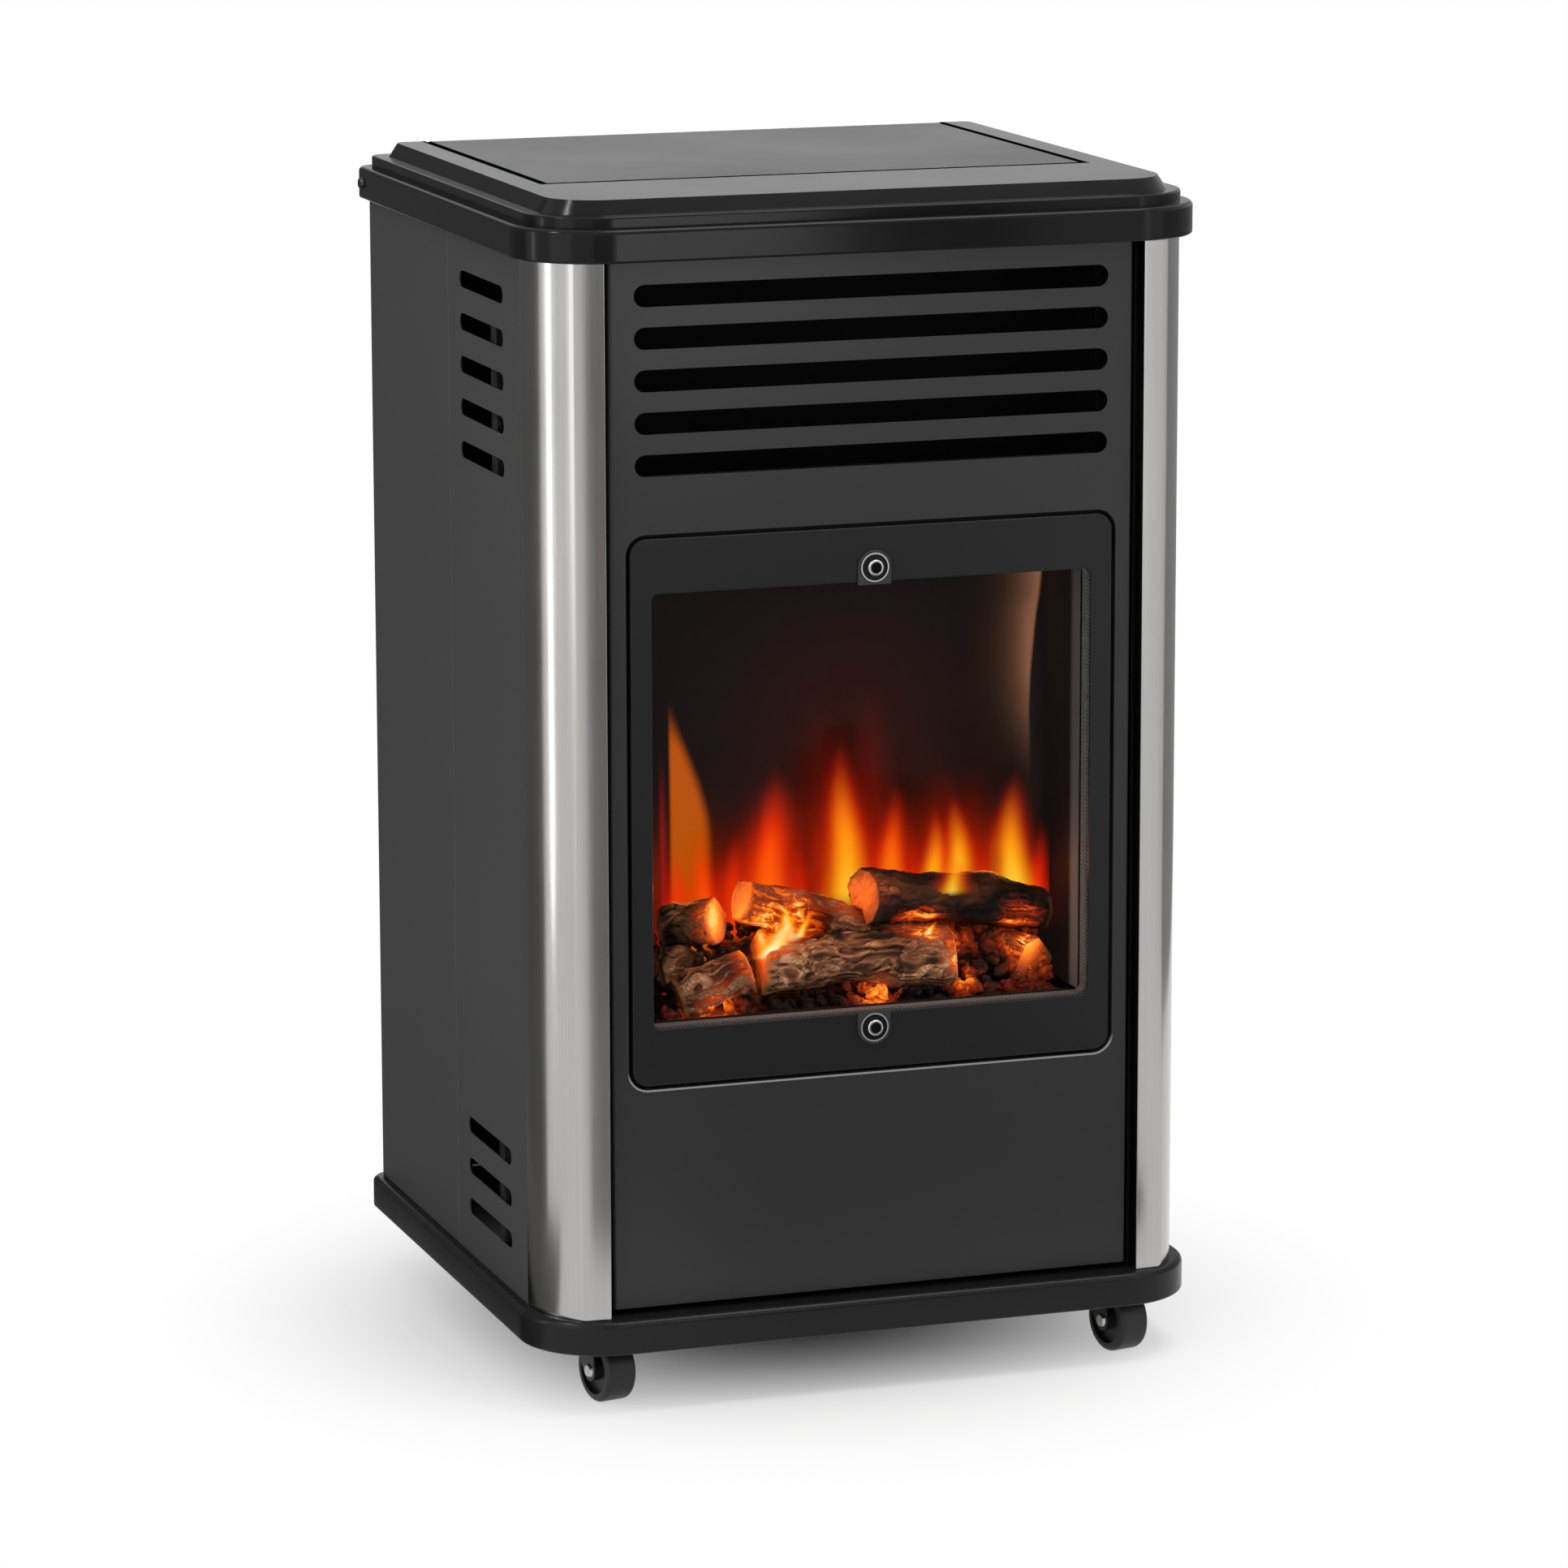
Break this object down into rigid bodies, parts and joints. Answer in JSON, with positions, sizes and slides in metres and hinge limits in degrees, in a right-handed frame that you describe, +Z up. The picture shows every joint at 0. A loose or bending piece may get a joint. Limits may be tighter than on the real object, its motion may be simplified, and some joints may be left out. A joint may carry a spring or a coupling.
{
  "type": "portable gas cabinet heater",
  "caption": "Wheeled cabinet gas heater: dark sheet-steel body, brushed corner trims, warm-air slots over a framed glass window with a log fire, and a hinged lid over the controls.",
  "frame": {"origin": "on the floor under the middle of the cabinet", "axes": "+X to the viewer's right across the front, +Y from the front to the back, +Z up"},
  "size_m": [0.436, 0.398, 0.7375],
  "materials": {
    "cabinet_paint": "satin dark grey powder coat",
    "front_paint": "satin dark grey paint",
    "moulding_black": "semi-gloss near-black moulding",
    "lid_black": "fine satin near-black moulding",
    "trim_steel": "vertically brushed stainless steel",
    "galvanised_steel": "galvanised sheet",
    "post_black": "black coated angle",
    "hood_black": "heat resistant black paint",
    "firebox_steel": "heat-resistant black paint, browned by use",
    "reflector_steel": "heat-tinted bright sheet",
    "fire_glass": "clear heat-resistant glass",
    "gasket_rope": "woven mineral fibre",
    "bright_screw": "bright plated",
    "black_screw": "black oxide",
    "burner_steel": "heat-tinted stainless tube",
    "brass": "turned",
    "electrode_ceramic": "glazed white",
    "ember": "rough fibre embers, glowing",
    "log_ceramic": "rough moulded bark, painted brown and charred, glowing in use",
    "pipe_aluminium": "drawn tube",
    "valve_casting": "die-cast",
    "control_steel": "brushed plate",
    "knob_black": "fine matte",
    "button_red": "glossy",
    "socket_nylon": "natural matte",
    "fork_black": "black coated pressing",
    "axle_zinc": "zinc plated rivet",
    "wheel_plastic": "hard black, slightly worn"
  },
  "bodies": {
    "cabinet": {"base_tray": "moulding_black", "caster_sockets": "socket_nylon", "frame_post_left": "post_black", "frame_post_right": "post_black", "corner_trim_left": "trim_steel", "corner_trim_right": "trim_steel", "side_panel_left": "cabinet_paint", "side_panel_right": "cabinet_paint", "front_panel": "front_paint", "window_frame": "front_paint", "window_glass": "fire_glass", "glass_gasket": "gasket_rope", "glass_clips": "front_paint", "clip_screws": "bright_screw", "firebox_shell": "firebox_steel", "back_reflector": "reflector_steel", "warm_air_hood": "hood_black", "heat_shield": "galvanised_steel", "burner_tube": "burner_steel", "gas_injector": "brass", "pilot_burner": "brass", "thermocouple": "brass", "spark_electrode": "electrode_ceramic", "fuel_tray": "firebox_steel", "ember_bed": "ember", "log_front": "log_ceramic", "log_left": "log_ceramic", "log_stub": "log_ceramic", "log_right": "log_ceramic", "log_back": "log_ceramic", "log_branch": "log_ceramic", "log_top": "log_ceramic", "top_cover": "moulding_black", "rim_screws": "black_screw", "gas_valve": "valve_casting", "inlet_nozzle": "brass", "gas_pipe": "pipe_aluminium", "pilot_pipe": "pipe_aluminium", "control_plate": "control_steel", "igniter_body": "knob_black"},
    "lid": {"lid_flap": "lid_black", "lid_hinge_pins": "bright_screw"},
    "tap": {"valve_plug": "brass"},
    "knob": {"control_knob": "knob_black", "valve_spindle": "brass"},
    "button": {"igniter_button": "button_red"},
    "back": {"rear_cover": "cabinet_paint"},
    "fork_front_left": {"caster_fork_front_left": "fork_black", "caster_axle_front_left": "axle_zinc"},
    "wheel_front_left": {"caster_wheel_front_left": "wheel_plastic"},
    "fork_front_right": {"caster_fork_front_right": "fork_black", "caster_axle_front_right": "axle_zinc"},
    "wheel_front_right": {"caster_wheel_front_right": "wheel_plastic"},
    "fork_rear_left": {"caster_fork_rear_left": "fork_black", "caster_axle_rear_left": "axle_zinc"},
    "wheel_rear_left": {"caster_wheel_rear_left": "wheel_plastic"},
    "fork_rear_right": {"caster_fork_rear_right": "fork_black", "caster_axle_rear_right": "axle_zinc"},
    "wheel_rear_right": {"caster_wheel_rear_right": "wheel_plastic"}
  },
  "joints": [
    {"name": "lid_hinge", "type": "hinge", "parent": "cabinet", "child": "lid", "pos_m": [0, 0.1745, 0.7345], "axis": [-1, 0, 0], "range_deg": [0, 100]},
    {"name": "tap_turn", "type": "hinge", "parent": "cabinet", "child": "tap", "pos_m": [-0.07, 0.095, 0.68], "axis": [0, 0, 1], "range_deg": [0, 210]},
    {"name": "knob_press", "type": "slide", "parent": "tap", "child": "knob", "axis": [0, 0, -1], "range_m": [0, 0.004], "stiffness_N_per_m": 1500, "springref_m": -0.002},
    {"name": "igniter_press", "type": "slide", "parent": "cabinet", "child": "button", "axis": [0, 0, -1], "range_m": [0, 0.006], "stiffness_N_per_m": 1200, "springref_m": -0.002},
    {"name": "back_pull", "type": "slide", "parent": "cabinet", "child": "back", "axis": [0, 1, 0], "range_m": [0, 0.25]},
    {"name": "swivel_front_left", "type": "hinge", "parent": "cabinet", "child": "fork_front_left", "pos_m": [-0.168, -0.152, 0.05], "axis": [0, 0, 1], "continuous": true},
    {"name": "roll_front_left", "type": "hinge", "parent": "fork_front_left", "child": "wheel_front_left", "pos_m": [-0.16551, -0.16374, 0.02], "axis": [0.9781, 0.2079, 0], "continuous": true},
    {"name": "swivel_front_right", "type": "hinge", "parent": "cabinet", "child": "fork_front_right", "pos_m": [0.168, -0.152, 0.05], "axis": [0, 0, 1], "continuous": true},
    {"name": "roll_front_right", "type": "hinge", "parent": "fork_front_right", "child": "wheel_front_right", "pos_m": [0.1705, -0.16374, 0.02], "axis": [0.9781, 0.2079, 0], "continuous": true},
    {"name": "swivel_rear_left", "type": "hinge", "parent": "cabinet", "child": "fork_rear_left", "pos_m": [-0.168, 0.152, 0.05], "axis": [0, 0, 1], "continuous": true},
    {"name": "roll_rear_left", "type": "hinge", "parent": "fork_rear_left", "child": "wheel_rear_left", "pos_m": [-0.16551, 0.14026, 0.02], "axis": [0.9781, 0.2079, 0], "continuous": true},
    {"name": "swivel_rear_right", "type": "hinge", "parent": "cabinet", "child": "fork_rear_right", "pos_m": [0.168, 0.152, 0.05], "axis": [0, 0, 1], "continuous": true},
    {"name": "roll_rear_right", "type": "hinge", "parent": "fork_rear_right", "child": "wheel_rear_right", "pos_m": [0.1705, 0.14026, 0.02], "axis": [0.9781, 0.2079, 0], "continuous": true}
  ]
}
